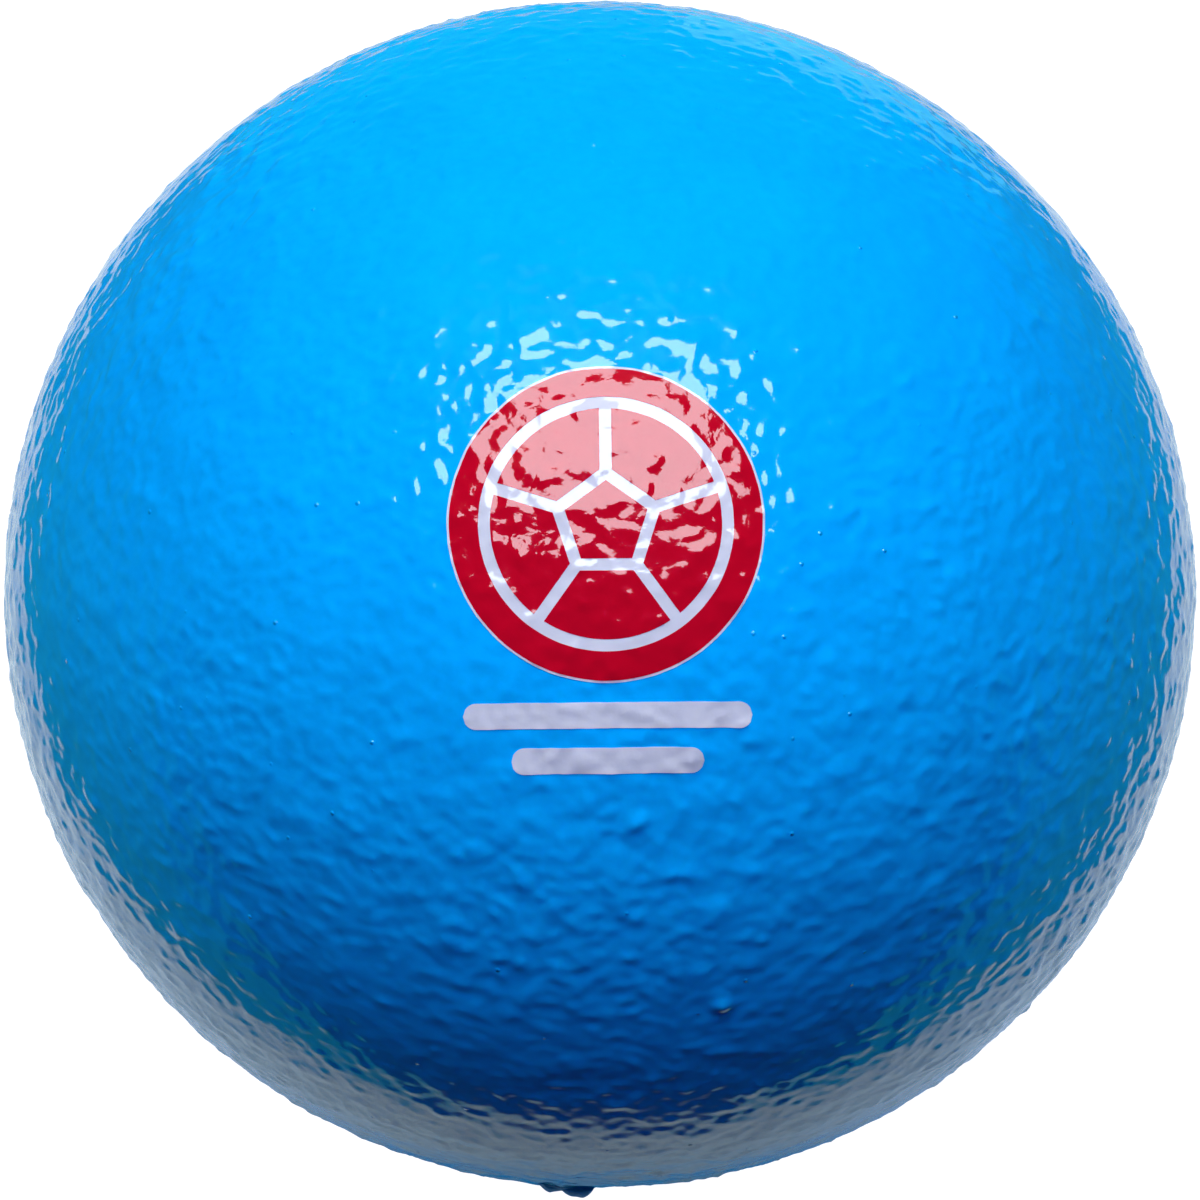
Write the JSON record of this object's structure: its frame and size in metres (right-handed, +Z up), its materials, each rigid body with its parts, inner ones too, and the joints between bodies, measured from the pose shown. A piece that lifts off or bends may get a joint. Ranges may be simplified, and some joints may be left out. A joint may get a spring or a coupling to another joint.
{
  "type": "foam handball",
  "caption": "Soft handball: a foam core in a glossy textured skin, with a sealed spike hole, a printed emblem and a small flat where it rests.",
  "frame": {"origin": "middle of the flat that the ball rests on, at floor level", "axes": "+Z up through the ball's middle, -Y toward the viewer, with the print on that side and above the middle, +X to the viewer's right"},
  "size_m": [0.16, 0.16, 0.1594],
  "materials": {
    "foam": "matte",
    "skin_coating": "gloss",
    "plug_coating": "gloss",
    "white_film": "gloss",
    "red_ink": "gloss"
  },
  "bodies": {
    "root": {"foam_core": "foam", "skin": "skin_coating", "seal_plug": "plug_coating", "print_base": "white_film", "red_border": "red_ink", "red_panels": "red_ink", "red_pentagon": "red_ink", "long_bar": "white_film", "short_bar": "white_film"}
  },
  "joints": []
}
